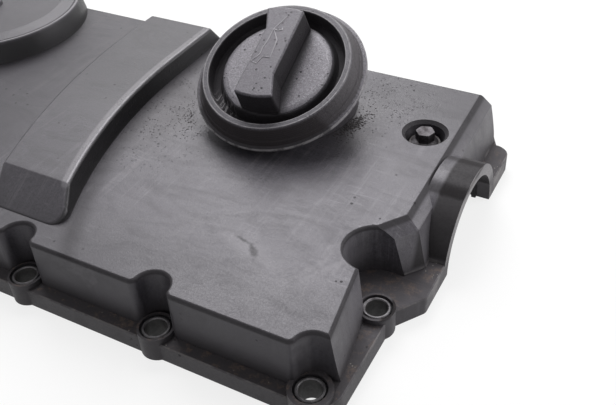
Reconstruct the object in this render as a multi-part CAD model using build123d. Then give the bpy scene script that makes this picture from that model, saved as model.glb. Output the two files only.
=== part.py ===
from build123d import *
import os
from math import atan2, cos, radians, sin, sqrt, tan

os.makedirs("parts", exist_ok=True)

# Plastic valve cover of a four-cylinder engine, timing end towards +X, rear towards +Y.
# Origin: axis of the timing-end front corner bolt, on the flange's sealing plane (z = 0).
# All lengths in millimetres, all angles in degrees.

# ---- Bolt rows
bolt_pitch = 70.4
row_bolts = 6
row_length = bolt_pitch * (row_bolts - 1)
rear_row_out = 8.5
rear_row_bolts = 4
end_boss_x = 5.2
end_boss_y = 47.9
far_boss_y = 96.0
far_boss_out = 8.5
boss_radius = 7.85
corner_boss_radius = 8.9
boss_height = 11.7

# ---- Flange
flange_thickness = 9.0
flange_front_y = -5.85
flange_rear_y = 193.4
flange_right_x = 11.3
flange_nose_x = 20.8
flange_far_margin = 11.3
nose_start_y = 50.0
nose_full_y = 63.5
lug_rear_y = 180.5
lug_inner_x = 13.0
lug_corner_radius = 7.6
flange_rear_x = 6.5
flange_far_radius = 10.0
flange_edge_chamfer = 0.5

# ---- Walls and top
cover_height = 33.1
wall = 3.0
draft = 1.0
wall_front_y = -0.2
wall_rear_y = 186.7
wall_nose_x = 14.0
wall_far_inset = 4.2
wall_corner_radius = 8.0
top_edge_radius = 1.3
shoulder_level = 28.0
shoulder_lean = 50.0
notch_radius = 6.9
notch_centre_y = 2.6
notch_corner_radius = 3.6
corner_notch_x = 0.9
corner_notch_y = 1.6
seal_notch_extra = 2.6
panel_front_x = 7.9
panel_front_y = 8.8
panel_rear_x = 2.5
panel_rear_y = 41.8
panel_lean = 8.5
end_notch_radius = 12.7
end_notch_x = 0.0
end_notch_y = 58.5
panel_corner_radius = 3.0
flank_foot_x = 7.6
flank_end_y = 79.7
nose_corner_radius = 4.0
rear_corner_radius = 5.0
nose_taper_y = 152.0
wall_nose_rear_x = 10.5
nose_lean = 13.0
nose_foot_x = 13.9
nose_foot_rear_x = 11.0

# ---- Camshaft arch in the timing end
arch_y = 118.0
arch_radius = 29.0
arch_thickness = 5.4
arch_back_x = 4.0

# ---- Raised band across the top
band_height = 10.0
band_right_x = -155.0
band_right_radius = 275.0
band_right_start_y = 140.0
band_left_x = -198.0
band_left_radius = 363.0
band_left_start_y = 165.0
band_front_foot_y = 12.3
band_front_run = 17.7
band_rear_foot_y = 184.4
band_rear_run = 7.5
band_draft = 7.0
band_edge_radius = 1.8
band_corner_radius = 7.0

# ---- Oil filler neck and cap (tilted towards the front)
cap_tilt = 23.7
cap_x = -82.5
cap_y = 129.8
cap_z = 53.5
cap_turned = 6.1
neck_radius = 33.0
neck_bore_radius = 26.3
neck_top_drop = 0.2
seal_thickness = 2.0
seal_clearance = 0.02
plug_clearance = 0.06
plug_wall = 3.0
plug_depth = 11.0
cap_rim_radius = 42.5
cap_rim_height = 1.7
cap_step_radius = 39.2
cap_step_height = 4.6
cap_ring_radius = 36.4
cap_ring_inner = 33.8
cap_ring_height = 10.2
cap_groove_height = 3.2
cap_groove_inner = 29.4
cap_floor_radius = 27.2
cap_floor_height = 7.8
cap_skin = 1.4
grip_height = 21.0
grip_half_length = 26.0
grip_corner_y = 24.4
grip_narrow_half_width = 9.0
grip_wide_half_width = 10.3
grip_waist_half_width = 6.6
grip_waist_y = 12.6
grip_corner_radius = 1.6
grip_draft = 2.0
grip_edge_radius = 1.0

# ---- Bolt well in the top
well_x = -12.3
well_y = 142.7
well_radius = 9.6
well_depth = 8.0
well_lip_radius = 1.6
well_tube_wall = 2.5
well_tube_bottom_z = 10.0
well_bore_radius = 5.6

# ---- Crankcase breather housing
breather_x = -294.7
breather_y = 146.2
breather_foot_radius = 54.8
breather_top_radius = 52.1
breather_rim_width = 1.4
breather_height = 12.1
pot_floor_z = 19.0
pot_floor_thickness = 3.0
pot_radius = 44.0
pot_outer_radius = 50.0
ledge_z = 43.0
membrane_thickness = 0.8
bead_width = 2.0
bead_depth = 1.6
membrane_low_z = 35.6
lid_edge_z = 45.2
lid_ring_width = 8.0
lid_ring_rise = 1.0
lid_thickness = 2.0
lid_clearance = 0.1
lid_nub_radius = 7.0
lid_nub_height = 2.6
plate_radius = 27.0
plate_thickness = 2.0
valve_travel = 3.0
seat_radius = 8.0
seat_bore_radius = 6.0
spring_radius = 12.5
spring_wire_radius = 0.7
spring_turns = 4
spring_clearance = 0.05

# ---- Oil baffle under the top
baffle_x0 = -345.0
baffle_x1 = -212.0
baffle_y0 = 17.0
baffle_y1 = 172.0
baffle_z = 11.0
baffle_thickness = 2.0
baffle_corner_radius = 9.0
baffle_lip = 3.0
drain_length = 14.0
drain_width = 4.0
drain_columns = 4
drain_rows = 5
drain_pitch_x = 26.0
drain_pitch_y = 22.0
post_radius = 4.0
screw_radius = 1.9
screw_head_radius = 3.6
screw_head_height = 2.0
screw_length = 9.0

# ---- Sealing and fixing pieces
groove_width = 2.4
groove_depth = 2.6
groove_from_cavity = 0.9
gasket_side_clearance = 0.1
gasket_stand_out = 0.7
sleeve_outer_radius = 6.0
sleeve_bore_radius = 4.6
sleeve_below_rim = 0.4
grommet_thickness = 0.8
grommet_below_rim = 1.6
well_sleeve_outer_radius = 4.6
well_sleeve_bore_radius = 3.3
bolt_shank_radius = 3.0
bolt_tip_z = 0.4
bolt_hex_flats = 8.0
bolt_hex_height = 4.6
bolt_flange_radius = 6.6
bolt_flange_height = 1.4
bolt_turned = 12.0
washer_radius = 7.4
washer_thickness = 1.2
well_seal_thickness = 1.6


def save(solid, name):
    export_step(solid, "parts/" + name + ".step")


def rectangle_between(x0, x1, y0, y1):
    return Pos((x0 + x1) / 2, (y0 + y1) / 2) * Rectangle(x1 - x0, y1 - y0)


def tube(outer_radius, inner_radius, z0, z1):
    ring = Circle(outer_radius) - Circle(inner_radius)
    return Pos(0, 0, z0) * extrude(ring, z1 - z0)


def rod(radius, z0, z1):
    return Pos(0, 0, z0) * extrude(Circle(radius), z1 - z0)


def revolved(points):
    """Solid of revolution about Z from a closed outline of (radius, height) points."""
    outline = Plane.XZ * make_face(Polyline(*points, close=True))
    return revolve(outline, Axis.Z)


def rounded_corners(sketch, corners):
    """Round the named corners: each is (x, y, radius)."""
    for x, y, radius in corners:
        corner = sketch.vertices().sort_by_distance((x, y, 0))[0]
        sketch = fillet(corner, radius)
    return sketch


# ---------------------------------------------------------------- derived places
far_x = -row_length - flange_far_margin
wall_far_x = far_x + wall_far_inset
rear_row_y = wall_rear_y + rear_row_out
front_bolt_xs = [-bolt_pitch * i for i in range(row_bolts)]
bolt_places = [(x, 0) for x in front_bolt_xs]
bolt_places += [(-bolt_pitch * (i + 0.5), rear_row_y) for i in range(rear_row_bolts)]
bolt_places += [(-row_length, rear_row_y)]
bolt_places += [(end_boss_x, end_boss_y), (wall_far_x - far_boss_out, far_boss_y)]
inner_top_z = cover_height - wall
panel_spread = flange_thickness * tan(radians(panel_lean))
slab_height = 160
slab_depth = 26
boss_bore_radius = sleeve_outer_radius + grommet_thickness

cap_plane = Plane(
    origin=(cap_x, cap_y, cap_z),
    x_dir=(1, 0, 0),
    z_dir=(0, -sin(radians(cap_tilt)), cos(radians(cap_tilt))))
cap_turn = cap_plane.location * Rot(0, 0, cap_turned)


# ---------------------------------------------------------------- plan outlines
def wall_outline(notch_extra):
    """Plan of the walls at the sealing plane; notch_extra widens the alcove round each boss."""
    notch = notch_radius + notch_extra
    end_notch = end_notch_radius + notch_extra
    end_notch_y0 = end_notch_y - end_notch
    end_notch_y1 = end_notch_y + end_notch_radius
    panel_top_y = corner_notch_y + notch
    block = make_face(Polyline(
        (wall_far_x, wall_front_y),
        (corner_notch_x, wall_front_y),
        (corner_notch_x, panel_top_y),
        (panel_front_x + panel_spread, panel_top_y),
        (panel_rear_x + panel_spread, panel_rear_y),
        (end_notch_x - 1.2, end_notch_y0),
        (end_notch_x, end_notch_y1),
        (flank_foot_x, end_notch_y1),
        (wall_nose_x, flank_end_y),
        (wall_nose_x, nose_taper_y),
        (wall_nose_rear_x, wall_rear_y),
        (wall_far_x, wall_rear_y),
        close=True))
    block -= Pos(corner_notch_x, corner_notch_y) * Circle(notch)
    block -= Pos(end_notch_x, end_notch_y) * Circle(end_notch)
    mouth = sqrt(notch ** 2 - (notch_centre_y - wall_front_y) ** 2)
    corner_mouth = sqrt(notch ** 2 - (corner_notch_y - wall_front_y) ** 2)
    corners = [
        (corner_notch_x - corner_mouth, wall_front_y, notch_corner_radius),
        (panel_front_x + panel_spread, panel_top_y, panel_corner_radius),
        (panel_rear_x + panel_spread, panel_rear_y, panel_corner_radius),
        (wall_nose_x, flank_end_y, nose_corner_radius),
        (wall_nose_rear_x, wall_rear_y, rear_corner_radius),
        (wall_far_x, wall_rear_y, wall_corner_radius)]
    for x in front_bolt_xs[1:]:
        block -= Pos(x, notch_centre_y) * Circle(notch)
        corners.append((x + mouth, wall_front_y, notch_corner_radius))
        if x - mouth > wall_far_x + notch_corner_radius:
            corners.append((x - mouth, wall_front_y, notch_corner_radius))
    return rounded_corners(block, corners)


def flange_outline():
    block = make_face(Polyline(
        (far_x, flange_front_y),
        (flange_right_x, flange_front_y),
        (flange_right_x, nose_start_y),
        (flange_nose_x, nose_full_y),
        (flange_nose_x, lug_rear_y),
        (lug_inner_x, lug_rear_y),
        (flange_rear_x, flange_rear_y),
        (far_x, flange_rear_y),
        close=True))
    return rounded_corners(block, [
        (flange_right_x, flange_front_y, flange_far_radius),
        (flange_nose_x, nose_full_y, nose_corner_radius),
        (flange_nose_x, lug_rear_y, lug_corner_radius),
        (flange_rear_x, flange_rear_y, nose_corner_radius),
        (far_x, flange_rear_y, flange_far_radius),
        (far_x, flange_front_y, flange_far_radius)])


def outside_slab(start, end, level, lean, overrun, inset):
    """Slab outside a wall plane that passes through two points of one level and leans inwards."""
    run_x = end[0] - start[0]
    run_y = end[1] - start[1]
    turn = atan2(run_y, run_x)
    tip = radians(lean)
    plane = Plane(
        origin=((start[0] + end[0]) / 2, (start[1] + end[1]) / 2, level),
        x_dir=(cos(turn), sin(turn), 0),
        z_dir=(sin(turn) * cos(tip), -cos(turn) * cos(tip), sin(tip)))
    length = sqrt(run_x ** 2 + run_y ** 2) + 2 * overrun
    slab = Pos(0, 0, -inset) * Box(
        length, slab_height, slab_depth, align=(Align.CENTER, Align.CENTER, Align.MIN))
    return plane * slab


def walls_block(outline, inset, top_z):
    """Drafted block of the walls, with its leaning end faces moved inwards by inset."""
    block = extrude(outline, top_z, taper=draft)
    flank_start_y = end_notch_y + end_notch_radius
    set_back = (shoulder_level - flange_thickness) * tan(radians(nose_lean))
    flank_turn = atan2(flank_end_y - flank_start_y, nose_foot_x - flank_foot_x)
    flank_back_x = set_back * sin(flank_turn)
    flank_back_y = set_back * cos(flank_turn)
    planes = [
        ((nose_foot_x, flank_end_y), (nose_foot_rear_x, wall_rear_y),
         flange_thickness, nose_lean, 12),
        ((nose_foot_x - set_back, flank_end_y), (nose_foot_rear_x - set_back, wall_rear_y),
         shoulder_level, shoulder_lean, 12),
        ((flank_foot_x, flank_start_y), (nose_foot_x, flank_end_y),
         flange_thickness, nose_lean, 9),
        ((flank_foot_x - flank_back_x, flank_start_y + flank_back_y),
         (nose_foot_x - flank_back_x, flank_end_y + flank_back_y),
         shoulder_level, shoulder_lean, 9),
        ((panel_front_x, panel_front_y), (panel_rear_x, panel_rear_y),
         flange_thickness, panel_lean, 9)]
    for start, end, level, lean, overrun in planes:
        block -= outside_slab(start, end, level, lean, overrun, inset)
    return block


# ---------------------------------------------------------------- cover shell
def arc_edge_x(start_x, radius, start_y, y):
    """X of a band edge: straight behind start_y, then a tangent arc towards +X."""
    if y >= start_y:
        return start_x
    return start_x + radius - sqrt(radius ** 2 - (start_y - y) ** 2)


def band_solid(inset, drop, corner_radius, edge_radius):
    """Raised band that sweeps from the rear edge to the front and slopes down at both ends."""
    foot_spread = band_height * tan(radians(band_draft)) - inset
    rear_y = band_rear_foot_y - inset
    front_y = band_front_foot_y + inset
    right_x = band_right_x + foot_spread
    left_x = band_left_x - foot_spread

    def right_point(y):
        return (arc_edge_x(right_x, band_right_radius, band_right_start_y, y), y)

    def left_point(y):
        return (arc_edge_x(left_x, band_left_radius, band_left_start_y, y), y)

    right_mid_y = (front_y + band_right_start_y) / 2
    left_mid_y = (front_y + band_left_start_y) / 2
    edges = [
        Line((right_x, rear_y), (left_x, rear_y)),
        Line((left_x, rear_y), (left_x, band_left_start_y)),
        ThreePointArc(left_point(band_left_start_y), left_point(left_mid_y), left_point(front_y)),
        Line(left_point(front_y), right_point(front_y)),
        ThreePointArc(right_point(front_y), right_point(right_mid_y), right_point(band_right_start_y)),
        Line((right_x, band_right_start_y), (right_x, rear_y))]
    base_z = cover_height - wall
    plan = rounded_corners(make_face(Wire(edges)), [
        (*left_point(front_y), corner_radius),
        (*right_point(front_y), corner_radius)])
    block = Pos(0, 0, base_z) * extrude(plan, band_height + wall - drop, taper=band_draft)
    block = block & Pos(0, 0, base_z) * Box(
        2000, 2000, 100, align=(Align.CENTER, Align.CENTER, Align.MIN))
    front_lean = atan2(band_front_run, band_height)
    rear_lean = atan2(band_rear_run, band_height)
    front_cut = Plane(
        origin=(0, front_y, cover_height - drop),
        x_dir=(1, 0, 0),
        z_dir=(0, -cos(front_lean), sin(front_lean)))
    rear_cut = Plane(
        origin=(0, rear_y, cover_height - drop),
        x_dir=(1, 0, 0),
        z_dir=(0, cos(rear_lean), sin(rear_lean)))
    slab = Box(2000, 60, 100, align=(Align.CENTER, Align.CENTER, Align.MIN))
    block = block - front_cut * slab - rear_cut * slab
    if edge_radius:
        block = fillet(block.edges().filter_by_position(Axis.Z, cover_height + 1, 1000), edge_radius)
    return block


def boss_outer(x, y, radius):
    return Pos(x, y) * rod(radius, 0, boss_height)


def boss_bore(x, y):
    return Pos(x, y) * rod(boss_bore_radius, -1, boss_height + 1)


def arch_block():
    half = Pos(arch_back_x, arch_y, 0) * Rot(0, 90, 0) * rod(
        arch_radius + arch_thickness, 0, flange_nose_x - arch_back_x)
    above = Pos(0, arch_y, 0) * Box(200, 200, 100, align=(Align.CENTER, Align.CENTER, Align.MIN))
    return half & above


def breather_block():
    top_z = cover_height + breather_height
    outer = revolved([
        (0, pot_floor_z - pot_floor_thickness),
        (pot_outer_radius, pot_floor_z - pot_floor_thickness),
        (breather_foot_radius - 1, cover_height - wall),
        (breather_foot_radius, cover_height),
        (breather_top_radius, top_z),
        (0, top_z)])
    return Pos(breather_x, breather_y) * outer


def breather_hollow():
    lid_seat_radius = breather_top_radius - breather_rim_width
    hollow = revolved([
        (0, pot_floor_z),
        (pot_radius, pot_floor_z),
        (pot_radius, ledge_z),
        (lid_seat_radius, ledge_z),
        (lid_seat_radius, cover_height + breather_height + 1),
        (0, cover_height + breather_height + 1)])
    bead_seat = rod(pot_radius + bead_width, ledge_z - bead_depth, ledge_z + 1)
    seat = tube(seat_radius, seat_bore_radius, pot_floor_z - 1, valve_seat_z)
    duct = rod(seat_bore_radius, pot_floor_z - pot_floor_thickness - 1, pot_floor_z + 1)
    return Pos(breather_x, breather_y) * (hollow + bead_seat - seat + duct)


def gasket_groove_plan(outer_from_cavity, inner_from_cavity):
    inner = offset(cavity_outline, amount=inner_from_cavity, kind=Kind.ARC)
    outer = offset(cavity_outline, amount=outer_from_cavity, kind=Kind.ARC)
    return outer - inner


def arch_gap_box(reach):
    return Pos(0, arch_y, 0) * Box(
        400, 2 * reach, 60, align=(Align.MIN, Align.CENTER, Align.CENTER))


valve_seat_z = membrane_low_z - plate_thickness - valve_travel - 0.4
wall_face = wall_outline(0)
cavity_outline = offset(wall_outline(seal_notch_extra), amount=-wall, kind=Kind.ARC)
cavity_outline -= Pos(end_boss_x, end_boss_y) * Circle(boss_radius + wall + 0.6)
groove_centre = groove_from_cavity + groove_width / 2
arch_groove_x = wall_nose_x - wall + groove_centre

outer_walls = walls_block(wall_face, 0, cover_height)
top_face = outer_walls.faces().sort_by(Axis.Z)[-1]
outer_walls = fillet(top_face.edges(), top_edge_radius)
cavity = walls_block(cavity_outline, wall, inner_top_z)

flange = extrude(flange_outline(), flange_thickness)
flange_top = flange.faces().sort_by(Axis.Z)[-1]
flange = chamfer(flange_top.edges(), flange_edge_chamfer)

neck = cap_plane.location * rod(neck_radius, -60, -neck_top_drop)
above_inner_top = Pos(0, 0, inner_top_z) * Box(
    2000, 2000, 200, align=(Align.CENTER, Align.CENTER, Align.MIN))
neck = neck & above_inner_top
neck_bore = cap_plane.location * rod(neck_bore_radius, -70, 10)

cover = flange + outer_walls + arch_block()
for x, y in bolt_places:
    radius = corner_boss_radius if (x, y) == (0, 0) else boss_radius
    cover += boss_outer(x, y, radius)
cover -= cavity
cover += band_solid(0, 0, band_corner_radius, band_edge_radius)
cover -= band_solid(wall, wall, band_corner_radius - wall, 0)
cover += neck
cover += breather_block()
well_tube_radius = well_bore_radius + well_tube_wall
well_tube = rod(well_tube_radius, well_tube_bottom_z, inner_top_z)
well_cup = rod(well_radius + well_tube_wall, cover_height - well_depth - wall, inner_top_z)
cover += Pos(well_x, well_y) * (well_tube + well_cup)

post_places = [
    (baffle_x0 + 9, baffle_y0 + 9),
    ((baffle_x0 + baffle_x1) / 2, baffle_y0 + 9),
    (baffle_x1 - 9, baffle_y0 + 9),
    (baffle_x1 - 9, (baffle_y0 + baffle_y1) / 2),
    (baffle_x1 - 9, baffle_y1 - 9),
    (baffle_x0 + 9, (baffle_y0 + baffle_y1) / 2 - 4)]
for x, y in post_places:
    cover += Pos(x, y) * rod(post_radius, baffle_z + baffle_thickness, inner_top_z + 0.5)

for x, y in bolt_places:
    cover -= boss_bore(x, y)
for x, y in post_places:
    cover -= Pos(x, y) * rod(screw_radius, 0, baffle_z + screw_length)
arch_bore = Pos(wall_nose_x - 20, arch_y, 0) * Rot(0, 90, 0) * rod(arch_radius, 0, 60)
cover -= arch_bore
cover -= neck_bore
cover -= breather_hollow()
well_recess = revolved([
    (0, cover_height + 1),
    (well_radius + well_lip_radius, cover_height + 1),
    (well_radius + well_lip_radius, cover_height),
    (well_radius, cover_height - well_lip_radius),
    (well_radius - 0.6, cover_height - well_depth),
    (0, cover_height - well_depth)])
cover -= Pos(well_x, well_y) * (well_recess + rod(well_bore_radius, 0, cover_height))

groove = extrude(gasket_groove_plan(groove_from_cavity + groove_width, groove_from_cavity), groove_depth)
groove -= arch_gap_box(arch_radius - 1)
arch_groove = Pos(arch_groove_x - groove_width / 2, arch_y, 0) * Rot(0, 90, 0) * tube(
    arch_radius + groove_depth, arch_radius - 1, 0, groove_width)
cover -= groove
cover -= arch_groove
print("cover solids", len(cover.solids()), "volume", round(cover.volume))
save(cover, "cover_shell")


# ---------------------------------------------------------------- perimeter gasket
def perimeter_gasket():
    """Rubber profile that follows the groove round the walls and over the camshaft arch."""
    near = groove_from_cavity + gasket_side_clearance
    far = groove_from_cavity + groove_width - gasket_side_clearance
    height = groove_depth + gasket_stand_out
    flat = Pos(0, 0, -gasket_stand_out) * extrude(gasket_groove_plan(far, near), height)
    flat -= arch_gap_box(arch_radius + groove_depth / 2)
    width = far - near
    ring = Pos(arch_groove_x - width / 2, arch_y, 0) * Rot(0, 90, 0) * tube(
        arch_radius + groove_depth, arch_radius - gasket_stand_out, 0, width)
    upper = Pos(0, arch_y, -gasket_stand_out) * Box(
        200, 200, 100, align=(Align.CENTER, Align.CENTER, Align.MIN))
    return flat + (ring & upper)


gasket = perimeter_gasket()
print("gasket solids", len(gasket.solids()))
save(gasket, "perimeter_gasket")


# ---------------------------------------------------------------- sleeves and grommets
def at_bolts(solid):
    return Compound(children=[Pos(x, y) * solid for x, y in bolt_places])


sleeve = tube(sleeve_outer_radius, sleeve_bore_radius, 0, boss_height - sleeve_below_rim)
sleeve = chamfer(sleeve.faces().sort_by(Axis.Z)[-1].edges(), 0.4)
save(at_bolts(sleeve), "bolt_sleeves")

grommet = tube(boss_bore_radius, sleeve_outer_radius, 1.0, boss_height - grommet_below_rim)
save(at_bolts(grommet), "bolt_grommets")


# ---------------------------------------------------------------- oil filler cap
def cap_skirt_and_dish():
    underside = cap_groove_height - cap_skin
    skirt_wall = 2.2
    outline = [
        (0, underside),
        (cap_step_radius - skirt_wall, underside),
        (cap_step_radius - skirt_wall + 0.6, 0),
        (cap_rim_radius - 0.3, 0),
        (cap_rim_radius, 0.3),
        (cap_rim_radius, cap_rim_height - 0.5),
        (cap_rim_radius - 0.6, cap_rim_height),
        (cap_rim_radius - 1.9, cap_rim_height + 0.3),
        (cap_step_radius + 0.6, cap_step_height - 0.6),
        (cap_step_radius, cap_step_height - 0.3),
        (cap_step_radius - 0.3, cap_step_height + 0.6),
        (cap_ring_radius + 0.5, cap_ring_height - 0.7),
        (cap_ring_radius, cap_ring_height),
        (cap_ring_inner, cap_ring_height),
        (cap_ring_inner - 0.4, cap_ring_height - 0.5),
        (cap_ring_inner - 1.0, cap_groove_height + 1.0),
        (cap_ring_inner - 1.8, cap_groove_height),
        (cap_groove_inner, cap_groove_height),
        (cap_groove_inner - 0.7, cap_groove_height + 1.0),
        (cap_floor_radius + 0.6, cap_floor_height - 1.6),
        (cap_floor_radius - 0.5, cap_floor_height - 0.4),
        (cap_floor_radius - 3.0, cap_floor_height),
        (0, cap_floor_height + 0.4)]
    return revolved(outline)


def cap_grip():
    """Waisted bar across the dish, with drafted sides and rounded top edges."""
    spread = (grip_height - cap_groove_height) * tan(radians(grip_draft))
    narrow_x = grip_narrow_half_width + spread
    wide_x = grip_wide_half_width + spread
    waist_x = grip_waist_half_width + spread
    corner_y = grip_corner_y + spread
    end_y = grip_half_length + spread
    edges = [
        Line((wide_x, -corner_y), (waist_x, -grip_waist_y)),
        Line((waist_x, -grip_waist_y), (narrow_x, corner_y)),
        ThreePointArc((narrow_x, corner_y), (0, end_y), (-wide_x, corner_y)),
        Line((-wide_x, corner_y), (-waist_x, grip_waist_y)),
        Line((-waist_x, grip_waist_y), (-narrow_x, -corner_y)),
        ThreePointArc((-narrow_x, -corner_y), (0, -end_y), (wide_x, -corner_y))]
    plan = make_face(Wire(edges))
    plan = fillet(plan.vertices(), grip_corner_radius)
    bar = Pos(0, 0, cap_groove_height) * extrude(
        plan, grip_height - cap_groove_height, taper=grip_draft)
    return fillet(bar.faces().sort_by(Axis.Z)[-1].edges(), grip_edge_radius)


cap_underside = cap_groove_height - cap_skin
cap_body = cap_skirt_and_dish() + cap_grip()
save(cap_turn * cap_body, "filler_cap")

plug_radius = neck_bore_radius - plug_clearance
plug_top = cap_underside
plug = revolved([
    (0, plug_top),
    (0, plug_top - 2.4),
    (plug_radius - plug_wall, plug_top - 2.4),
    (plug_radius - plug_wall, -plug_depth),
    (plug_radius - 1.0, -plug_depth),
    (plug_radius, -plug_depth + 1.0),
    (plug_radius, plug_top)])
save(cap_turn * plug, "cap_plug")

cap_seal = tube(neck_radius - 0.6, plug_radius + 0.4, -neck_top_drop + seal_clearance, cap_underside - seal_clearance)
save(cap_plane.location * cap_seal, "cap_seal")


# ---------------------------------------------------------------- breather valve
lid_radius = breather_top_radius - breather_rim_width - lid_clearance


def breather_lid():
    ring_inner = lid_radius - lid_ring_width
    top = lid_edge_z + lid_ring_rise
    lid = revolved([
        (0, top - lid_thickness),
        (pot_radius - 0.5, top - lid_thickness),
        (pot_radius - 0.5, ledge_z),
        (lid_radius, ledge_z),
        (lid_radius, lid_edge_z - 0.5),
        (lid_radius - 0.5, lid_edge_z),
        (ring_inner, top),
        (ring_inner - 0.5, top - 0.5),
        (0, top - 0.5)])
    nub = revolved([
        (0, top - 1),
        (lid_nub_radius, top - 1),
        (lid_nub_radius - 0.6, top + lid_nub_height - 1.0),
        (lid_nub_radius - 2.0, top + lid_nub_height),
        (0, top + lid_nub_height)])
    return lid + nub


def diaphragm():
    """Rolling membrane with a clamped bead, one convolution and a flat centre."""
    t = membrane_thickness
    low = membrane_low_z
    bead_low = ledge_z - bead_depth
    bead_outer = pot_radius + bead_width
    roll = pot_radius - 6
    return revolved([
        (0, low),
        (plate_radius + 1, low),
        (roll - 4, bead_low - 1.2),
        (roll, bead_low + 0.2),
        (roll + 3, bead_low),
        (bead_outer, bead_low),
        (bead_outer, ledge_z),
        (pot_radius, ledge_z),
        (roll + 3, bead_low + t),
        (roll, bead_low + 0.2 + t),
        (roll - 4.4, bead_low - 1.2 + t),
        (plate_radius + 0.6, low + t),
        (0, low + t)])


at_breather = Pos(breather_x, breather_y)
save(at_breather * breather_lid(), "breather_lid")
save(at_breather * diaphragm(), "diaphragm")

plate_z = membrane_low_z - plate_thickness
collar_radius = spring_radius - spring_wire_radius - spring_clearance
plate = rod(plate_radius, plate_z, membrane_low_z)
plate += tube(collar_radius, collar_radius - 1.2, plate_z - 1.6, plate_z)
save(at_breather * plate, "valve_plate")

spring_height = plate_z - pot_floor_z - 2 * spring_wire_radius - 2 * spring_clearance
coil = Helix(pitch=spring_height / spring_turns, height=spring_height, radius=spring_radius)
wire = sweep(Plane(origin=coil @ 0, z_dir=coil % 0) * Circle(spring_wire_radius), path=coil)
spring = Pos(0, 0, pot_floor_z + spring_wire_radius + spring_clearance) * wire
save(at_breather * spring, "valve_spring")


# ---------------------------------------------------------------- oil baffle
def oil_baffle():
    plan = rectangle_between(baffle_x0, baffle_x1, baffle_y0, baffle_y1)
    plan = fillet(plan.vertices(), baffle_corner_radius)
    rim = plan - offset(plan, amount=-1.8)
    plate = Pos(0, 0, baffle_z) * extrude(plan, baffle_thickness)
    plate += Pos(0, 0, baffle_z) * extrude(rim, baffle_thickness + baffle_lip)
    for x, y in post_places:
        plate -= Pos(x, y) * rod(screw_radius + 0.3, baffle_z - 1, baffle_z + baffle_thickness + 1)
    drain = Pos(0, 0, baffle_z - 1) * extrude(SlotOverall(drain_length, drain_width), baffle_thickness + 2)
    middle_x = (baffle_x0 + baffle_x1) / 2
    middle_y = (baffle_y0 + baffle_y1) / 2
    for i in range(drain_columns):
        for j in range(drain_rows):
            x = middle_x + (i - (drain_columns - 1) / 2) * drain_pitch_x
            y = middle_y + (j - (drain_rows - 1) / 2) * drain_pitch_y
            plate -= Pos(x, y) * drain
    return plate


save(oil_baffle(), "oil_baffle")

screw = rod(screw_radius - 0.05, baffle_z, baffle_z + screw_length - 1)
screw += rod(screw_head_radius, baffle_z - screw_head_height, baffle_z)
screw = fillet(screw.faces().sort_by(Axis.Z)[0].edges(), 0.8)
save(Compound(children=[Pos(x, y) * screw for x, y in post_places]), "baffle_screws")


# ---------------------------------------------------------------- bolt in the well
at_well = Pos(well_x, well_y)
well_floor_z = cover_height - well_depth
seal_top_z = well_floor_z + well_seal_thickness
washer_top_z = seal_top_z + washer_thickness
flange_top_z = washer_top_z + bolt_flange_height
hex_top_z = flange_top_z + bolt_hex_height

well_seal = tube(well_radius - 1.6, well_sleeve_outer_radius, well_floor_z, seal_top_z)
save(at_well * well_seal, "well_seal")

well_sleeve = tube(well_sleeve_outer_radius, well_sleeve_bore_radius, well_tube_bottom_z, seal_top_z)
save(at_well * well_sleeve, "well_sleeve")

washer = tube(washer_radius, bolt_shank_radius + 0.2, seal_top_z, washer_top_z)
save(at_well * washer, "well_washer")

bolt = rod(bolt_shank_radius, bolt_tip_z, washer_top_z)
bolt = chamfer(bolt.faces().sort_by(Axis.Z)[0].edges(), 0.8)
bolt += Pos(0, 0, washer_top_z) * Cone(
    bolt_flange_radius, bolt_hex_flats / 2 + 0.3, bolt_flange_height,
    align=(Align.CENTER, Align.CENTER, Align.MIN))
hexagon = RegularPolygon(bolt_hex_flats / 2, 6, major_radius=False, rotation=bolt_turned)
head = Pos(0, 0, flange_top_z) * extrude(hexagon, bolt_hex_height)
crown = Pos(0, 0, flange_top_z) * Cone(
    bolt_hex_flats / 2 + bolt_hex_height + 0.3, bolt_hex_flats / 2 - 0.4, bolt_hex_height + 0.7,
    align=(Align.CENTER, Align.CENTER, Align.MIN))
bolt += head & crown
save(at_well * bolt, "well_bolt")
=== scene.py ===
import math
import random

import bpy
from mathutils import Matrix, Vector


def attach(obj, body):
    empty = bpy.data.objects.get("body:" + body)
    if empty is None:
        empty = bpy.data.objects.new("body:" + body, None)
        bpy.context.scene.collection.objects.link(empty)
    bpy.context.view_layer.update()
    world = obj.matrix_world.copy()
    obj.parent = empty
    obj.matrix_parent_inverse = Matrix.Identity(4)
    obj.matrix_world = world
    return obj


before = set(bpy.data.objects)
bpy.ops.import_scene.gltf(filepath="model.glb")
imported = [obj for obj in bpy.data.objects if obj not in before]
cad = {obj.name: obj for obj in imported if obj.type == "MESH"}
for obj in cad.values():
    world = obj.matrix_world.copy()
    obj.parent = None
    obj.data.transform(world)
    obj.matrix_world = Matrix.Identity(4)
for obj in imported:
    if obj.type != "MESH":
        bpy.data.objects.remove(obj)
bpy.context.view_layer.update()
scene = bpy.context.scene


# ---------------------------------------------------------------- places on the cover, in metres
CAP_PLACE = Vector((-0.0825, 0.1298, 0.0535))
CAP_TILT = math.radians(23.7)
CAP_TURNED = math.radians(6.1)
CAP_AXES = Matrix.Rotation(CAP_TILT, 4, "X") @ Matrix.Rotation(CAP_TURNED, 4, "Z")
CAP_FRAME = Matrix.Translation(CAP_PLACE) @ CAP_AXES
BREATHER_X = -0.2947
BREATHER_Y = 0.1462
TOP_LEVEL = 0.0331
GRIP_TOP = 0.02098
BAND_EDGE_X = -0.155
BAND_EDGE_RADIUS = 0.275
BAND_EDGE_START_Y = 0.140
PLASTIC_SHEEN = (0.97, 0.94, 1.0, 1)
METAL_SHEEN = (1, 1, 1, 1)
CHANCE = random.Random(11)


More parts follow.
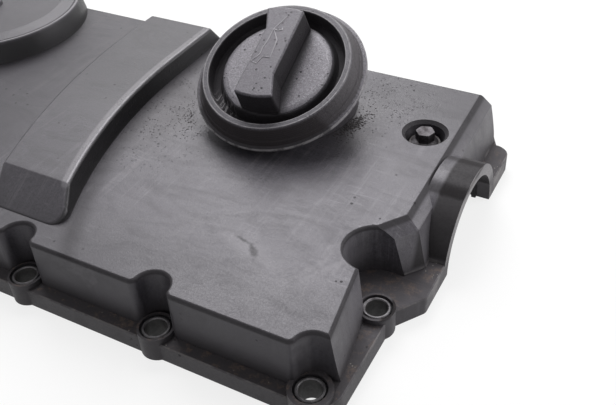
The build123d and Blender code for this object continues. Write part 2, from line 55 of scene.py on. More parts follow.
# ---------------------------------------------------------------- finishes
class Finish:
    """A material with one Principled shader and short helpers for its nodes."""

    def __init__(self, name, rough, metal=0.0, specular=0.5):
        self.material = bpy.data.materials.new(name)
        self.material.use_nodes = True
        self.tree = self.material.node_tree
        self.tree.nodes.clear()
        self.out = self.tree.nodes.new("ShaderNodeOutputMaterial")
        self.shader = self.tree.nodes.new("ShaderNodeBsdfPrincipled")
        self.tree.links.new(self.shader.outputs[0], self.out.inputs[0])
        self.shader.inputs["Roughness"].default_value = rough
        self.shader.inputs["Metallic"].default_value = metal
        self.shader.inputs["Specular IOR Level"].default_value = specular
        self.shader.inputs["Specular Tint"].default_value = METAL_SHEEN if metal else PLASTIC_SHEEN
        self.coords = self.tree.nodes.new("ShaderNodeTexCoord")

    def place(self, location=(0, 0, 0), rotation=(0, 0, 0), scale=(1, 1, 1)):
        node = self.tree.nodes.new("ShaderNodeMapping")
        node.inputs["Location"].default_value = location
        node.inputs["Rotation"].default_value = rotation
        node.inputs["Scale"].default_value = scale
        self.tree.links.new(self.coords.outputs["Object"], node.inputs["Vector"])
        return node.outputs[0]

    def noise(self, scale, detail=4.0, rough=0.6, distortion=0.0, at=None):
        node = self.tree.nodes.new("ShaderNodeTexNoise")
        node.inputs["Scale"].default_value = scale
        node.inputs["Detail"].default_value = detail
        node.inputs["Roughness"].default_value = rough
        node.inputs["Distortion"].default_value = distortion
        self.tree.links.new(at or self.coords.outputs["Object"], node.inputs["Vector"])
        return node.outputs[0]

    def cells(self, scale, at=None):
        node = self.tree.nodes.new("ShaderNodeTexVoronoi")
        node.inputs["Scale"].default_value = scale
        self.tree.links.new(at or self.coords.outputs["Object"], node.inputs["Vector"])
        return node.outputs["Distance"]

    def ramp(self, value, *stops):
        node = self.tree.nodes.new("ShaderNodeValToRGB")
        elements = node.color_ramp.elements
        while len(elements) < len(stops):
            elements.new(0.5)
        for element, (where, colour) in zip(elements, stops):
            element.position = where
            element.color = (*colour, 1)
        self.tree.links.new(value, node.inputs[0])
        return node.outputs[0]

    def step(self, value, low, high):
        """0 below low, 1 above high, smooth between."""
        node = self.tree.nodes.new("ShaderNodeMapRange")
        node.interpolation_type = "SMOOTHSTEP"
        node.inputs["From Min"].default_value = low
        node.inputs["From Max"].default_value = high
        self.tree.links.new(value, node.inputs["Value"])
        return node.outputs[0]

    def maths(self, kind, a, b=None):
        node = self.tree.nodes.new("ShaderNodeMath")
        node.operation = kind
        for socket, value in zip(node.inputs, (a, b)):
            if value is None:
                continue
            if isinstance(value, (int, float)):
                socket.default_value = value
            else:
                self.tree.links.new(value, socket)
        return node.outputs[0]

    def times(self, a, b):
        return self.maths("MULTIPLY", a, b)

    def plus(self, a, b):
        return self.maths("ADD", a, b)

    def most(self, a, b):
        return self.maths("MAXIMUM", a, b)

    def without(self, mask):
        return self.maths("SUBTRACT", 1.0, mask)

    def below(self, value, low, high):
        """1 below low, 0 above high, smooth between."""
        return self.without(self.step(value, low, high))

    def between(self, value, low, high, soft):
        """1 where the value lies between low and high."""
        risen = self.step(value, low - soft, low + soft)
        return self.times(risen, self.below(value, high - soft, high + soft))

    def distance(self, a, b):
        return self.maths("SQRT", self.plus(self.times(a, a), self.times(b, b)))

    def mix(self, amount, a, b):
        node = self.tree.nodes.new("ShaderNodeMix")
        node.data_type = "RGBA"
        for socket, value in zip((node.inputs[0], node.inputs[6], node.inputs[7]), (amount, a, b)):
            if isinstance(value, (int, float)):
                socket.default_value = value
            elif isinstance(value, tuple):
                socket.default_value = (*value, 1)
            else:
                self.tree.links.new(value, socket)
        return node.outputs[2]

    def spot(self, centre, size, soft, wobble, scale, turn=0.0):
        """1 inside an uneven patch round a point, 0 outside it."""
        shift = self.tree.nodes.new("ShaderNodeVectorMath")
        shift.operation = "SUBTRACT"
        shift.inputs[1].default_value = centre
        self.tree.links.new(self.coords.outputs["Object"], shift.inputs[0])
        spin = self.tree.nodes.new("ShaderNodeMapping")
        spin.inputs["Rotation"].default_value = (0, 0, turn)
        self.tree.links.new(shift.outputs[0], spin.inputs["Vector"])
        stretch = self.tree.nodes.new("ShaderNodeMapping")
        stretch.inputs["Scale"].default_value = tuple(1 / s for s in size)
        self.tree.links.new(spin.outputs[0], stretch.inputs["Vector"])
        length = self.tree.nodes.new("ShaderNodeVectorMath")
        length.operation = "LENGTH"
        self.tree.links.new(stretch.outputs[0], length.inputs[0])
        ragged = self.times(self.maths("SUBTRACT", self.noise(scale, 5.0), 0.5), wobble)
        distance = self.plus(length.outputs["Value"], ragged)
        return self.below(distance, 1 - soft, 1 + soft)

    def coordinate(self, axis):
        node = self.tree.nodes.new("ShaderNodeSeparateXYZ")
        self.tree.links.new(self.coords.outputs["Object"], node.inputs[0])
        return node.outputs[axis]

    def facing(self, axis="Z"):
        geometry = self.tree.nodes.new("ShaderNodeNewGeometry")
        node = self.tree.nodes.new("ShaderNodeSeparateXYZ")
        self.tree.links.new(geometry.outputs["Normal"], node.inputs[0])
        return node.outputs[axis]

    def bump(self, value, strength, distance):
        node = self.tree.nodes.new("ShaderNodeBump")
        node.inputs["Strength"].default_value = strength
        node.inputs["Distance"].default_value = distance
        self.tree.links.new(value, node.inputs["Height"])
        self.tree.links.new(node.outputs[0], self.shader.inputs["Normal"])

    def colour(self, value):
        self.tree.links.new(value, self.shader.inputs["Base Color"])

    def roughness(self, value):
        self.tree.links.new(value, self.shader.inputs["Roughness"])


def dress(obj, material):
    obj.data.materials.clear()
    obj.data.materials.append(material)



def past_band_edge(f, x, y):
    """How far a point lies to the right of the raised band's curved side, in metres."""
    back = f.most(f.maths("SUBTRACT", BAND_EDGE_START_Y, y), 0.0)
    root = f.maths("SQRT", f.maths("SUBTRACT", BAND_EDGE_RADIUS ** 2, f.times(back, back)))
    return f.plus(f.maths("SUBTRACT", x, BAND_EDGE_X + BAND_EDGE_RADIUS), root)


def dirty_patches(f, body):
    """Dark soft patches under the crumbs of caked dirt either side of the filler cap, with fine specks."""
    patches = f.spot((-0.046, 0.136, 0.033), (0.012, 0.022, 0.02), 0.55, 1.2, 110)
    patches = f.most(patches, f.spot((-0.134, 0.122, 0.033), (0.016, 0.044, 0.02), 0.55, 1.2, 110))
    wide = f.most(f.spot((-0.050, 0.150, 0.033), (0.030, 0.040, 0.02), 0.6, 1.0, 60),
                  f.spot((-0.134, 0.122, 0.033), (0.032, 0.060, 0.02), 0.6, 1.0, 60))
    specks = f.below(f.cells(520), 0.16, 0.26)
    specks = f.times(specks, f.step(f.noise(130, 3.0), 0.44, 0.56))
    specks = f.times(specks, wide)
    body = f.mix(f.times(patches, 0.45), body, (0.020, 0.016, 0.017))
    return f.mix(f.times(specks, 0.92), body, (0.006, 0.005, 0.005)), specks


def rubbed_marks(f, body):
    """Pale wipes, dark swirls, hairline scuffs, a smear and one scrape on the flat top."""
    across = f.place(rotation=(0, 0, 0.35), scale=(26.0, 1.6, 1.0))
    wipes = f.times(f.step(f.noise(11, 6.0, 0.7, at=across), 0.50, 0.68),
                    f.step(f.noise(13, 2.0), 0.40, 0.58))
    body = f.mix(f.times(wipes, 0.35), body, (0.165, 0.158, 0.172))
    swirl = f.noise(30, 6.0, 0.72, distortion=1.6, at=f.place(rotation=(0, 0, -0.6), scale=(1.0, 2.6, 1.0)))
    swirl = f.step(swirl, 0.42, 0.70)
    body = f.mix(f.times(swirl, 0.45), body, (0.010, 0.009, 0.011))
    drawn = f.place(rotation=(0, 0, 0.75), scale=(1.0, 9.0, 1.0))
    hairs = f.step(f.noise(60, 5.0, 0.7, distortion=0.5, at=drawn), 0.56, 0.66)
    hairs = f.times(hairs, f.step(f.noise(21, 3.0), 0.48, 0.60))
    body = f.mix(f.times(hairs, 0.28), body, (0.190, 0.182, 0.198))
    smear = f.spot((-0.046, 0.037, 0.033), (0.015, 0.0045, 0.02), 0.9, 2.2, 120, turn=0.38)
    smear = f.most(smear, f.spot((-0.015, 0.035, 0.033), (0.013, 0.0014, 0.02), 0.9, 2.0, 160, turn=-1.0))
    smear = f.most(smear, f.spot((-0.021, 0.031, 0.033), (0.010, 0.0012, 0.02), 0.9, 2.0, 160, turn=-1.1))
    body = f.mix(f.times(smear, 0.30), body, (0.170, 0.163, 0.176))
    scrape = f.spot((-0.044, 0.036, 0.033), (0.0040, 0.0013, 0.02), 0.7, 2.6, 420, turn=0.9)
    scrape = f.most(scrape, f.spot((-0.051, 0.040, 0.033), (0.0034, 0.0008, 0.02), 0.7, 2.6, 420, turn=0.3))
    return f.mix(f.times(scrape, 0.80), body, (0.006, 0.006, 0.006)), swirl, scrape


def glass_filled_plastic():
    """Black glass-filled polyamide: satin, grained, smeared, with grit by the cap and a dusty flange."""
    f = Finish("glass_filled_plastic", 0.42, specular=0.42)
    x, y, level = f.coordinate("X"), f.coordinate("Y"), f.coordinate("Z")
    up, right = f.facing("Z"), f.facing("X")
    grain = f.noise(1000, 4.0, 0.85)
    cloud = f.noise(14, 5.0, 0.65)
    body = f.ramp(cloud, (0.30, (0.034, 0.0315, 0.0375)), (0.70, (0.051, 0.0475, 0.056)))
    body = f.mix(0.5, body, f.ramp(grain, (0.36, (0.012, 0.011, 0.013)), (0.64, (0.100, 0.094, 0.110))))
    body, swirl, scrape = rubbed_marks(f, body)
    body, specks = dirty_patches(f, body)
    nicks = f.below(f.cells(190), 0.10, 0.14)
    nicks = f.times(nicks, f.step(f.noise(45, 2.0), 0.55, 0.60))
    body = f.mix(f.times(nicks, 0.8), body, (0.010, 0.009, 0.009))

    # painted shade: darker stretches where less light is reflected, at the front, the rear right and the
    # left of the top, and on the raised band
    darker = f.times(f.below(y, 0.012, 0.042), 0.55)
    rear_right = f.times(f.step(y, 0.125, 0.165), f.step(x, -0.070, -0.045))
    darker = f.most(darker, f.times(rear_right, 0.50))
    on_band = f.times(f.step(level, 0.0334, 0.0340), f.below(x, -0.120, -0.110))
    darker = f.most(darker, f.times(on_band, f.plus(f.times(f.step(y, 0.060, 0.120), 0.45), 0.30)))
    darker = f.most(darker, f.times(f.below(x, -0.215, -0.175), 0.55))
    body = f.mix(darker, body, (0.012, 0.011, 0.013))

    # painted shade: a dark line along the roundings at the edge of the top
    rounding_shade = f.times(f.between(level, 0.0312, 0.0336, 0.0005), f.between(up, -0.3, 0.970, 0.025))
    body = f.mix(f.times(rounding_shade, 0.88), body, (0.007, 0.006, 0.007))

    # the raised band: painted shade making its right side black, a painted shadow in a soft dark strip next
    # to it, and a painted highlight on a pale crest
    from_band = past_band_edge(f, x, y)
    shadow_by_band = f.times(f.between(from_band, 0.0004, 0.0090, 0.0045), f.between(level, 0.0320, 0.0345, 0.0003))
    body = f.mix(f.times(shadow_by_band, 0.60), body, (0.008, 0.007, 0.008))
    band_side_shade = f.times(f.step(right, 0.25, 0.6), f.between(level, 0.0334, 0.0428, 0.0003))
    band_side_shade = f.times(band_side_shade, f.below(x, -0.105, -0.095))
    body = f.mix(f.times(band_side_shade, 0.97), body, (0.003, 0.003, 0.003))
    crest_highlight = f.times(f.between(from_band, -0.0046, -0.0008, 0.0007), f.step(level, 0.0415, 0.0424))
    body = f.mix(f.times(crest_highlight, 0.40), body, (0.200, 0.192, 0.206))

    # breather housing: painted shade making its side black, a painted shadow in a soft dark ring round its
    # base, and a painted highlight on its pale rim
    dx, dy = f.maths("SUBTRACT", x, BREATHER_X), f.maths("SUBTRACT", y, BREATHER_Y)
    from_breather = f.distance(dx, dy)
    breather_side_shade = f.times(f.between(from_breather, 0.0495, 0.0560, 0.0004),
                           f.between(level, 0.0332, 0.0436, 0.0004))
    breather_ring_shadow = f.times(f.between(from_breather, 0.0540, 0.0590, 0.0035),
                         f.between(level, 0.0320, 0.0345, 0.0003))
    body = f.mix(f.times(breather_side_shade, 0.93), body, (0.004, 0.004, 0.004))
    body = f.mix(f.times(breather_ring_shadow, 0.60), body, (0.008, 0.007, 0.008))
    breather_rim_highlight = f.times(f.between(from_breather, 0.0512, 0.0524, 0.0002), f.step(level, 0.0444, 0.0448))
    body = f.mix(f.times(breather_rim_highlight, 0.60), body, (0.260, 0.250, 0.268))

    # painted light makes the right-hand walls paler, and painted shade darkens every wall down to the flange
    on_wall = f.times(f.step(x, -0.030, -0.024), f.between(level, 0.012, 0.0305, 0.002))
    lit_flank = f.times(f.step(right, 0.45, 0.75), on_wall)
    lit_flank = f.times(lit_flank, f.plus(f.times(f.step(f.noise(70, 4.0), 0.36, 0.62), 0.6), 0.4))
    body = f.mix(f.times(lit_flank, 0.34), body, (0.165, 0.158, 0.168))
    upward = f.step(up, 0.55, 0.85)
    sideways = f.without(upward)
    wall_foot_shade = f.times(f.below(level, 0.009, 0.021), sideways)
    body = f.mix(f.times(wall_foot_shade, 0.55), body, (0.016, 0.014, 0.014))

    # flange top: black with brown dust and pale specks, and a painted highlight along its outer edge
    ledge = f.times(f.below(level, 0.0125, 0.016), upward)
    body = f.mix(f.times(ledge, 0.65), body, (0.026, 0.023, 0.024))
    dust = f.times(ledge, f.step(f.noise(190, 6.0, 0.8), 0.50, 0.64))
    body = f.mix(f.times(dust, 0.60), body, (0.105, 0.074, 0.058))
    pale = f.below(f.cells(430), 0.10, 0.16)
    pale = f.times(f.times(pale, ledge), f.step(f.noise(90, 3.0), 0.54, 0.60))
    body = f.mix(f.times(pale, 0.7), body, (0.26, 0.24, 0.22))
    lip_highlight = f.times(f.between(level, 0.0060, 0.0105, 0.0004), f.between(up, 0.20, 0.92, 0.05))
    lip_highlight = f.times(lip_highlight, f.step(f.noise(120, 5.0), 0.40, 0.56))
    body = f.mix(f.times(lip_highlight, 0.45), body, (0.150, 0.142, 0.140))

    # camshaft arch: dark ledge behind a front face with a painted highlight in patches
    arch_top = f.times(f.step(x, 0.0085, 0.0105), f.step(level, 0.010, 0.012))
    arch_front = f.step(right, 0.90, 0.98)
    arch_top = f.times(arch_top, f.without(arch_front))
    body = f.mix(f.times(arch_top, 0.93), body, (0.006, 0.005, 0.005))
    arch_face_highlight = f.times(f.step(x, 0.0200, 0.0206), arch_front)
    arch_face_highlight = f.times(arch_face_highlight, f.step(f.noise(90, 5.0), 0.38, 0.62))
    body = f.mix(f.times(arch_face_highlight, 0.6), body, (0.16, 0.15, 0.15))
    f.colour(body)

    rough = f.plus(f.times(f.noise(28, 5.0), 0.18), 0.26)
    rougher_parts = (
        (swirl, 0.055), (scrape, 0.13), (nicks, 0.35), (f.step(grain, 0.40, 0.62), 0.12), (arch_top, 0.30),
        (ledge, 0.24), (rounding_shade, 0.30), (wall_foot_shade, 0.15), (crest_highlight, -0.07), (shadow_by_band, 0.16), (specks, 0.20))
    for part, amount in rougher_parts:
        rough = f.plus(rough, f.times(part, amount))
    f.roughness(rough)
    texture = f.plus(f.times(grain, 0.30), f.times(specks, 0.7))
    f.bump(texture, 0.60, 0.0004)
    return f.material


def rubber(name, tint):
    f = Finish(name, 0.75, specular=0.3)
    darker = tuple(c * 0.7 for c in tint)
    lighter = tuple(c * 1.3 for c in tint)
    f.colour(f.ramp(f.noise(180, 3.0), (0.3, darker), (0.7, lighter)))
    f.bump(f.noise(1200, 2.0), 0.2, 0.0002)
    return f.material


def worn_steel(name, light, dark, rough):
    f = Finish(name, rough, metal=1.0)
    stain = f.noise(260, 6.0, 0.75)
    f.colour(f.ramp(stain, (0.38, dark), (0.62, light)))
    f.roughness(f.plus(f.times(f.noise(500, 3.0), 0.30), rough - 0.1))
    f.bump(f.noise(1500, 3.0), 0.25, 0.00015)
    return f.material


def moulded(name, dark, light, rough, scale=60):
    f = Finish(name, rough, specular=0.55)
    f.colour(f.ramp(f.noise(scale, 4.0), (0.3, dark), (0.7, light)))
    f.roughness(f.plus(f.times(f.noise(80, 4.0), 0.15), rough - 0.07))
    f.bump(f.noise(1100, 2.0), 0.25, 0.0003)
    return f.material


def cap_plastic():
    """Filler cap: grey raised faces with painted light on the dish and the grip's top, painted shade making
    the groove and the grip's sides black, and black on the skirt.
    """
    f = Finish("cap_plastic", 0.36, specular=0.34)
    local = CAP_FRAME.inverted()
    at = f.place(location=tuple(local.translation), rotation=tuple(local.to_euler()))
    axes = f.tree.nodes.new("ShaderNodeSeparateXYZ")
    f.tree.links.new(at, axes.inputs[0])
    x, y, z = axes.outputs
    radius = f.distance(x, y)
    up = f.facing()
    flat = f.step(up, 0.80, 0.90)
    grain = f.noise(950, 4.0, 0.85)
    body = f.ramp(grain, (0.34, (0.030, 0.028, 0.033)), (0.66, (0.140, 0.132, 0.150)))

    # dish: pale from dust and painted light, speckled, with black pits, and a painted shadow fading it to
    # black next to the grip
    dish = f.times(f.below(radius, 0.0248, 0.0268), flat)
    dish = f.times(dish, f.below(z, 0.0110, 0.0130))
    body = f.mix(f.times(dish, 0.60), body, (0.215, 0.204, 0.228))
    # painted light: the flat top of the grip is paler
    lit_grip_top = f.times(f.step(z, 0.0196, 0.0204), flat)
    body = f.mix(f.times(lit_grip_top, 0.50), body, (0.185, 0.176, 0.196))
    crumbs = f.step(f.noise(1250, 5.0, 0.95), 0.48, 0.60)
    body = f.mix(f.times(f.times(crumbs, dish), 0.62), body, (0.420, 0.405, 0.435))
    pits = f.below(f.cells(360, at), 0.17, 0.23)
    pits = f.times(pits, f.step(f.noise(150, 3.0), 0.47, 0.55))
    body = f.mix(f.times(f.times(pits, flat), 0.92), body, (0.008, 0.007, 0.008))
    # painted shadow next to the grip and in front of its end
    shade = f.times(f.below(x, 0.0082, 0.0150), f.step(x, -0.0030, 0.0))
    shade = f.most(shade, f.below(y, -0.0255, -0.0225))
    shade = f.times(shade, f.below(z, 0.0085, 0.0100))
    body = f.mix(f.times(shade, 0.90), body, (0.006, 0.005, 0.006))

    # painted shade: black sides of the grip and black groove, with pale streaks at its front left
    grip_side_shade = f.times(f.between(z, 0.0082, 0.0200, 0.0005), f.below(up, 0.70, 0.86))
    grip_side_shade = f.times(grip_side_shade, f.below(radius, 0.0300, 0.0310))
    body = f.mix(f.times(grip_side_shade, 0.93), body, (0.006, 0.005, 0.006))
    groove_shade = f.times(f.between(radius, 0.0272, 0.0338, 0.0005), f.below(z, 0.0097, 0.0101))
    body = f.mix(f.times(groove_shade, 0.97), body, (0.005, 0.004, 0.005))
    streaks = f.noise(200, 5.0, 0.7, at=f.place(rotation=(0.3, 0.2, 0.6), scale=(5.0, 0.6, 1.0)))
    streaks = f.times(f.step(streaks, 0.50, 0.60), f.between(x, -0.0275, -0.0140, 0.0030))
    streaks = f.times(streaks, f.times(groove_shade, f.between(y, -0.0290, -0.0150, 0.0030)))
    body = f.mix(f.times(streaks, 0.75), body, (0.20, 0.19, 0.20))

    # skirt: brown-black with thin turned lines; ring and rim with painted highlights along their thin edges
    skirt = f.times(f.step(radius, 0.0366, 0.0369), f.step(z, 0.0018, 0.0022))
    lines = f.maths("SINE", f.times(z, 7000.0))
    body = f.mix(f.times(skirt, 0.80), body, (0.016, 0.013, 0.014))
    body = f.mix(f.times(f.times(skirt, f.step(lines, 0.7, 1.0)), 0.30), body, (0.052, 0.045, 0.046))
    top_of_ring = f.times(f.step(z, 0.0099, 0.0101), f.between(radius, 0.0336, 0.0366, 0.0002))
    body = f.mix(f.times(top_of_ring, 0.45), body, (0.060, 0.058, 0.064))
    broken = f.step(f.noise(200, 5.0, 0.7), 0.36, 0.56)
    edges = f.most(f.between(radius, 0.0358, 0.0363, 0.00015), f.between(radius, 0.0337, 0.0341, 0.00015))
    edges = f.times(edges, f.step(z, 0.0094, 0.0098))
    lip_highlight = f.times(f.step(radius, 0.0418, 0.0422), f.between(z, 0.0004, 0.0022, 0.0002))
    edge_highlight = f.times(f.most(edges, lip_highlight), f.plus(f.times(broken, 0.7), 0.3))
    body = f.mix(f.times(edge_highlight, 0.75), body, (0.27, 0.26, 0.27))
    f.colour(body)
    rough = f.plus(f.times(f.noise(70, 4.0), 0.16), 0.30)
    for part, amount in ((groove_shade, 0.38), (grip_side_shade, 0.22), (shade, 0.30), (skirt, 0.16), (dish, -0.02)):
        rough = f.plus(rough, f.times(part, amount))
    f.roughness(rough)
    f.bump(f.plus(grain, f.times(pits, -1.2)), 0.60, 0.0004)
    return f.material


def sleeve_steel():
    """Compression sleeve: dull grey ring face, and painted shade darkening the hole through it."""
    f = Finish("sleeve_steel", 0.55, metal=1.0)
    stain = f.noise(320, 6.0, 0.75)
    face = f.ramp(stain, (0.36, (0.055, 0.052, 0.055)), (0.64, (0.125, 0.120, 0.126)))
    bore_shade = f.ramp(stain, (0.36, (0.012, 0.011, 0.011)), (0.66, (0.050, 0.047, 0.047)))
    ring = f.step(f.facing(), 0.50, 0.66)
    f.colour(f.mix(ring, bore_shade, face))
    f.tree.links.new(f.times(ring, 0.9), f.shader.inputs["Metallic"])
    f.roughness(f.plus(f.times(f.noise(500, 3.0), 0.25), 0.45))
    f.bump(f.noise(1500, 3.0), 0.25, 0.00015)
    return f.material


dress(cad["cover_shell"], glass_filled_plastic())
dress(cad["perimeter_gasket"], rubber("gasket_rubber", (0.03, 0.03, 0.032)))
dress(cad["bolt_sleeves"], sleeve_steel())
dress(cad["bolt_grommets"], rubber("grommet_rubber", (0.010, 0.010, 0.011)))
dress(cad["filler_cap"], cap_plastic())
dress(cad["cap_plug"], moulded("plug_plastic", (0.07, 0.07, 0.072), (0.10, 0.10, 0.10), 0.5))
dress(cad["cap_seal"], rubber("seal_rubber", (0.03, 0.03, 0.032)))
dress(cad["breather_lid"], moulded("lid_plastic", (0.020, 0.0185, 0.022), (0.036, 0.034, 0.039), 0.46, 25))
dress(cad["diaphragm"], rubber("membrane_rubber", (0.10, 0.035, 0.03)))
dress(cad["valve_plate"], moulded("valve_plastic", (0.42, 0.42, 0.40), (0.55, 0.55, 0.52), 0.45))
dress(cad["valve_spring"], worn_steel("spring_steel", (0.6, 0.6, 0.62), (0.4, 0.4, 0.42), 0.25))
dress(cad["oil_baffle"], moulded("baffle_plastic", (0.07, 0.07, 0.07), (0.11, 0.11, 0.11), 0.5))
dress(cad["baffle_screws"], worn_steel("screw_steel", (0.55, 0.56, 0.58), (0.30, 0.29, 0.27), 0.38))
dress(cad["well_bolt"], worn_steel("bolt_steel", (0.085, 0.080, 0.086), (0.028, 0.025, 0.027), 0.48))
dress(cad["well_washer"], worn_steel("washer_steel", (0.060, 0.056, 0.057), (0.018, 0.016, 0.016), 0.55))
dress(cad["well_sleeve"], worn_steel("spacer_steel", (0.075, 0.07, 0.07), (0.02, 0.018, 0.018), 0.5))
dress(cad["well_seal"], rubber("well_seal_rubber", (0.02, 0.02, 0.02)))


# ---------------------------------------------------------------- modelled pieces
def only(obj):
    """Leave this one piece selected and active."""
    bpy.ops.object.select_all(action="DESELECT")
    obj.select_set(True)
    bpy.context.view_layer.objects.active = obj


def drawn_line(name, points, closed, thick):
    """A raised line: one corner is drawn out from point to point, then given a round section."""
    bpy.ops.object.select_all(action="DESELECT")
    bpy.ops.mesh.primitive_plane_add(size=0.001, location=points[0])
    line = bpy.context.object
    line.name = name
    bpy.ops.object.mode_set(mode="EDIT")
    bpy.ops.mesh.select_all(action="SELECT")
    bpy.ops.mesh.merge(type="CENTER")
    for start, end in zip(points, points[1:]):
        step = Vector(end) - Vector(start)
        bpy.ops.mesh.extrude_vertices_move(TRANSFORM_OT_translate={"value": tuple(step)})
    if closed:
        bpy.ops.mesh.select_mode(type="VERT")
        bpy.ops.mesh.select_all(action="DESELECT")
        bpy.ops.object.mode_set(mode="OBJECT")
        for end in (0, len(points) - 1):
            line.data.vertices[end].select = True
        bpy.ops.object.mode_set(mode="EDIT")
        bpy.ops.mesh.edge_face_add()
    bpy.ops.object.mode_set(mode="OBJECT")
    only(line)
    bpy.ops.object.transform_apply(location=True, rotation=True, scale=True)
    bpy.ops.object.convert(target="CURVE")
    line.data.bevel_depth = thick
    line.data.bevel_resolution = 2
    line.data.use_fill_caps = True
    bpy.ops.object.convert(target="MESH")
    return bpy.context.object


def joined(pieces, name):
    bpy.ops.object.select_all(action="DESELECT")
    for piece in pieces:
        piece.select_set(True)
    bpy.context.view_layer.objects.active = pieces[0]
    bpy.ops.object.join()
    pieces[0].name = name
    return pieces[0]


def oil_can_mark():
    """Raised-line oil can on top of the grip, its corners in millimetres from the cap's axis."""
    line_thickness = 0.00032
    lip_of_can = (-2.1, 12.2)
    handle_and_can = [(-2.4, 10.4), (-2.7, 5.5), (-3.7, 1.2), (-3.7, -2.9), (-4.5, -4.2), (-6.9, -7.2),
                      (-3.6, -8.4), (-1.9, -4.1), (1.9, -4.1), (1.7, 6.1), lip_of_can]
    spout = [lip_of_can, (2.0, 20.7)]
    drop = [lip_of_can, (0.2, 11.6), (2.1, 12.2), (1.9, 13.3)]
    lines = []
    for name, points, closed in (("can_outline", handle_and_can, True),
                                 ("can_spout", spout, False), ("can_hook", drop, False)):
        placed = [CAP_FRAME @ Vector((px / 1000, py / 1000, GRIP_TOP)) for px, py in points]
        lines.append(drawn_line(name, placed, closed, line_thickness))
    mark = joined(lines, "oil_can_mark")
    only(mark)
    bpy.ops.object.shade_smooth_by_angle(angle=math.radians(40))
    dress(mark, moulded("mark_plastic", (0.260, 0.250, 0.270), (0.360, 0.348, 0.372), 0.40))
    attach(mark, "oil_cap")


def caked_dirt():
    f = Finish("caked_dirt", 0.6, specular=0.45)
    f.colour(f.ramp(f.noise(700, 5.0, 0.7), (0.35, (0.006, 0.005, 0.005)), (0.62, (0.020, 0.015, 0.014)),
                    (0.78, (0.10, 0.088, 0.080))))
    f.roughness(f.plus(f.times(f.noise(900, 3.0), 0.4), 0.25))
    f.bump(f.noise(2500, 4.0), 0.5, 0.0002)
    return f.material


def crumb():
    """One lump of dirt: a ball knocked out of round and flattened."""
    bpy.ops.object.select_all(action="DESELECT")
    bpy.ops.mesh.primitive_ico_sphere_add(subdivisions=2, radius=0.001, location=(0, 0, 0))
    lump = bpy.context.object
    bpy.ops.object.mode_set(mode="EDIT")
    bpy.ops.mesh.select_all(action="SELECT")
    bpy.ops.transform.vertex_random(offset=0.00035, uniform=1.0, seed=7)
    bpy.ops.transform.resize(value=(1.0, 0.8, 0.55), center_override=(0, 0, 0))
    bpy.ops.object.mode_set(mode="OBJECT")
    return lump


def crumbs_round(name, first, centre, spread, turn, count, largest, material, body):
    """Copies of the lump on the top, thick in the middle of the patch and thin at its edge."""
    copies = []
    for _ in range(count):
        angle, far = CHANCE.uniform(0, 2 * math.pi), abs(CHANCE.gauss(0, 0.55))
        offset = Vector((spread[0] * far * math.cos(angle), spread[1] * far * math.sin(angle)))
        flat = Matrix.Rotation(turn, 2) @ offset
        size = CHANCE.uniform(0.14, largest) * (1.0 - 0.45 * min(far, 1.0))
        copy = first.copy()
        copy.data = first.data.copy()
        scene.collection.objects.link(copy)
        copy.data.transform(Matrix.Translation((centre[0] + flat.x, centre[1] + flat.y, TOP_LEVEL)) @
                            Matrix.Rotation(CHANCE.uniform(0, 6.28), 4, "Z") @ Matrix.Scale(size, 4))
        copies.append(copy)
    patch = joined(copies, name)
    dress(patch, material)
    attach(patch, body)


def dirt_by_the_cap():
    first = crumb()
    dirt = caked_dirt()
    crumbs_round("dirt_right", first, (-0.0462, 0.1345), (0.0060, 0.0150), -0.20, 460, 0.85, dirt, "cover")
    crumbs_round("dirt_left", first, (-0.1240, 0.1080), (0.0140, 0.0460), 0.50, 260, 0.42, dirt, "cover")
    crumbs_round("dirt_ahead", first, (-0.0600, 0.1620), (0.0200, 0.0220), 0.0, 90, 0.45, dirt, "cover")
    bpy.data.objects.remove(first, do_unlink=True)


oil_can_mark()
dirt_by_the_cap()


# ---------------------------------------------------------------- floor, light and camera
def backdrop_rays(tree):
    """1 for the rays that see the white backdrop: camera, mirror and glass rays."""
    path = tree.nodes.new("ShaderNodeLightPath")
    total = path.outputs["Is Camera Ray"]
    for kind in ("Is Glossy Ray", "Is Transmission Ray"):
        node = tree.nodes.new("ShaderNodeMath")
        node.operation = "MAXIMUM"
        tree.links.new(total, node.inputs[0])
        tree.links.new(path.outputs[kind], node.inputs[1])
        total = node.outputs[0]
    return total


def floor_finish():
    material = bpy.data.materials.new("pale_floor")
    material.use_nodes = True
    tree = material.node_tree
    tree.nodes.clear()
    out = tree.nodes.new("ShaderNodeOutputMaterial")
    matt = tree.nodes.new("ShaderNodeBsdfDiffuse")
    matt.inputs["Color"].default_value = (0.8, 0.8, 0.8, 1)
    glow = tree.nodes.new("ShaderNodeEmission")
    glow.inputs["Color"].default_value = (1, 1, 1, 1)
    share = tree.nodes.new("ShaderNodeMath")
    share.operation = "MULTIPLY"
    share.inputs[1].default_value = 0.8
    blend = tree.nodes.new("ShaderNodeMixShader")
    tree.links.new(backdrop_rays(tree), share.inputs[0])
    tree.links.new(share.outputs[0], blend.inputs[0])
    tree.links.new(matt.outputs[0], blend.inputs[1])
    tree.links.new(glow.outputs[0], blend.inputs[2])
    tree.links.new(blend.outputs[0], out.inputs[0])
    return material


def pale_floor():
    bpy.ops.object.select_all(action="DESELECT")
    bpy.ops.mesh.primitive_plane_add(size=6, location=(-0.17, 0.1, -0.0008))
    ground = bpy.context.object
    ground.name = "pale_floor"
    dress(ground, floor_finish())


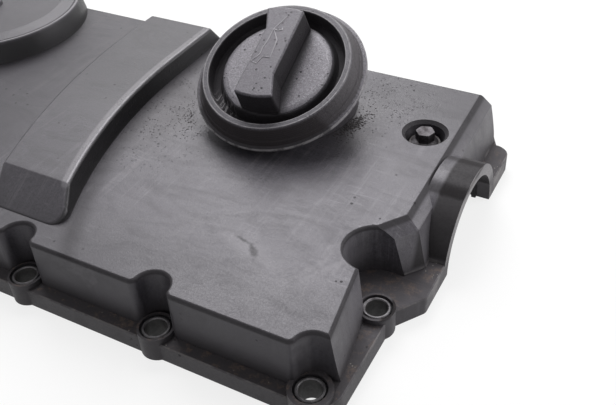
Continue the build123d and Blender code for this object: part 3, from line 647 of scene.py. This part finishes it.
def white_surroundings():
    world = bpy.data.worlds.new("studio")
    scene.world = world
    world.use_nodes = True
    tree = world.node_tree
    tree.nodes.clear()
    out = tree.nodes.new("ShaderNodeOutputWorld")
    lighting_strength = 0.36
    backdrop_strength = 1.0
    soft = tree.nodes.new("ShaderNodeBackground")
    soft.inputs["Color"].default_value = (1, 1, 1, 1)
    soft.inputs["Strength"].default_value = lighting_strength
    seen = tree.nodes.new("ShaderNodeBackground")
    seen.inputs["Color"].default_value = (1, 1, 1, 1)
    seen.inputs["Strength"].default_value = backdrop_strength
    blend = tree.nodes.new("ShaderNodeMixShader")
    tree.links.new(backdrop_rays(tree), blend.inputs[0])
    tree.links.new(soft.outputs[0], blend.inputs[1])
    tree.links.new(seen.outputs[0], blend.inputs[2])
    tree.links.new(blend.outputs[0], out.inputs[0])


def softbox(name, place, target, width, height, watts):
    lamp = bpy.data.lights.new(name, "AREA")
    lamp.shape = "RECTANGLE"
    lamp.size = width
    lamp.size_y = height
    lamp.energy = watts
    holder = bpy.data.objects.new(name, lamp)
    scene.collection.objects.link(holder)
    holder.location = place
    direction = Vector(target) - Vector(place)
    holder.rotation_euler = direction.to_track_quat("-Z", "Y").to_euler()


def camera_at(place, yaw, pitch, roll, lens):
    """A camera turned left by yaw, down by pitch and about its own axis by roll."""
    forward = Vector((-math.sin(yaw) * math.cos(pitch), math.cos(yaw) * math.cos(pitch), -math.sin(pitch)))
    right = Vector((math.cos(yaw), math.sin(yaw), 0))
    up = right.cross(forward)
    tilted_right = right * math.cos(roll) + up * math.sin(roll)
    tilted_up = up * math.cos(roll) - right * math.sin(roll)
    turn = Matrix((tilted_right, tilted_up, -forward)).transposed().to_4x4()
    data = bpy.data.cameras.new("view")
    data.sensor_width = 36
    data.lens = lens
    data.clip_start = 0.01
    holder = bpy.data.objects.new("view", data)
    scene.collection.objects.link(holder)
    holder.matrix_world = Matrix.Translation(place) @ turn
    scene.camera = holder


pale_floor()
white_surroundings()
softbox("overhead_box", (-0.44, 0.69, 0.95), (-0.15, 0.12, 0.0), width=0.75, height=0.90, watts=17)
softbox("side_box", (0.75, 0.60, 0.35), (-0.05, 0.10, 0.02), width=0.6, height=0.6, watts=6)
camera_at((0.096227, -0.159091, 0.251265), yaw=math.radians(30.157), pitch=math.radians(39.157),
          roll=math.radians(-3.416), lens=46.88)
scene.view_settings.view_transform = "Standard"
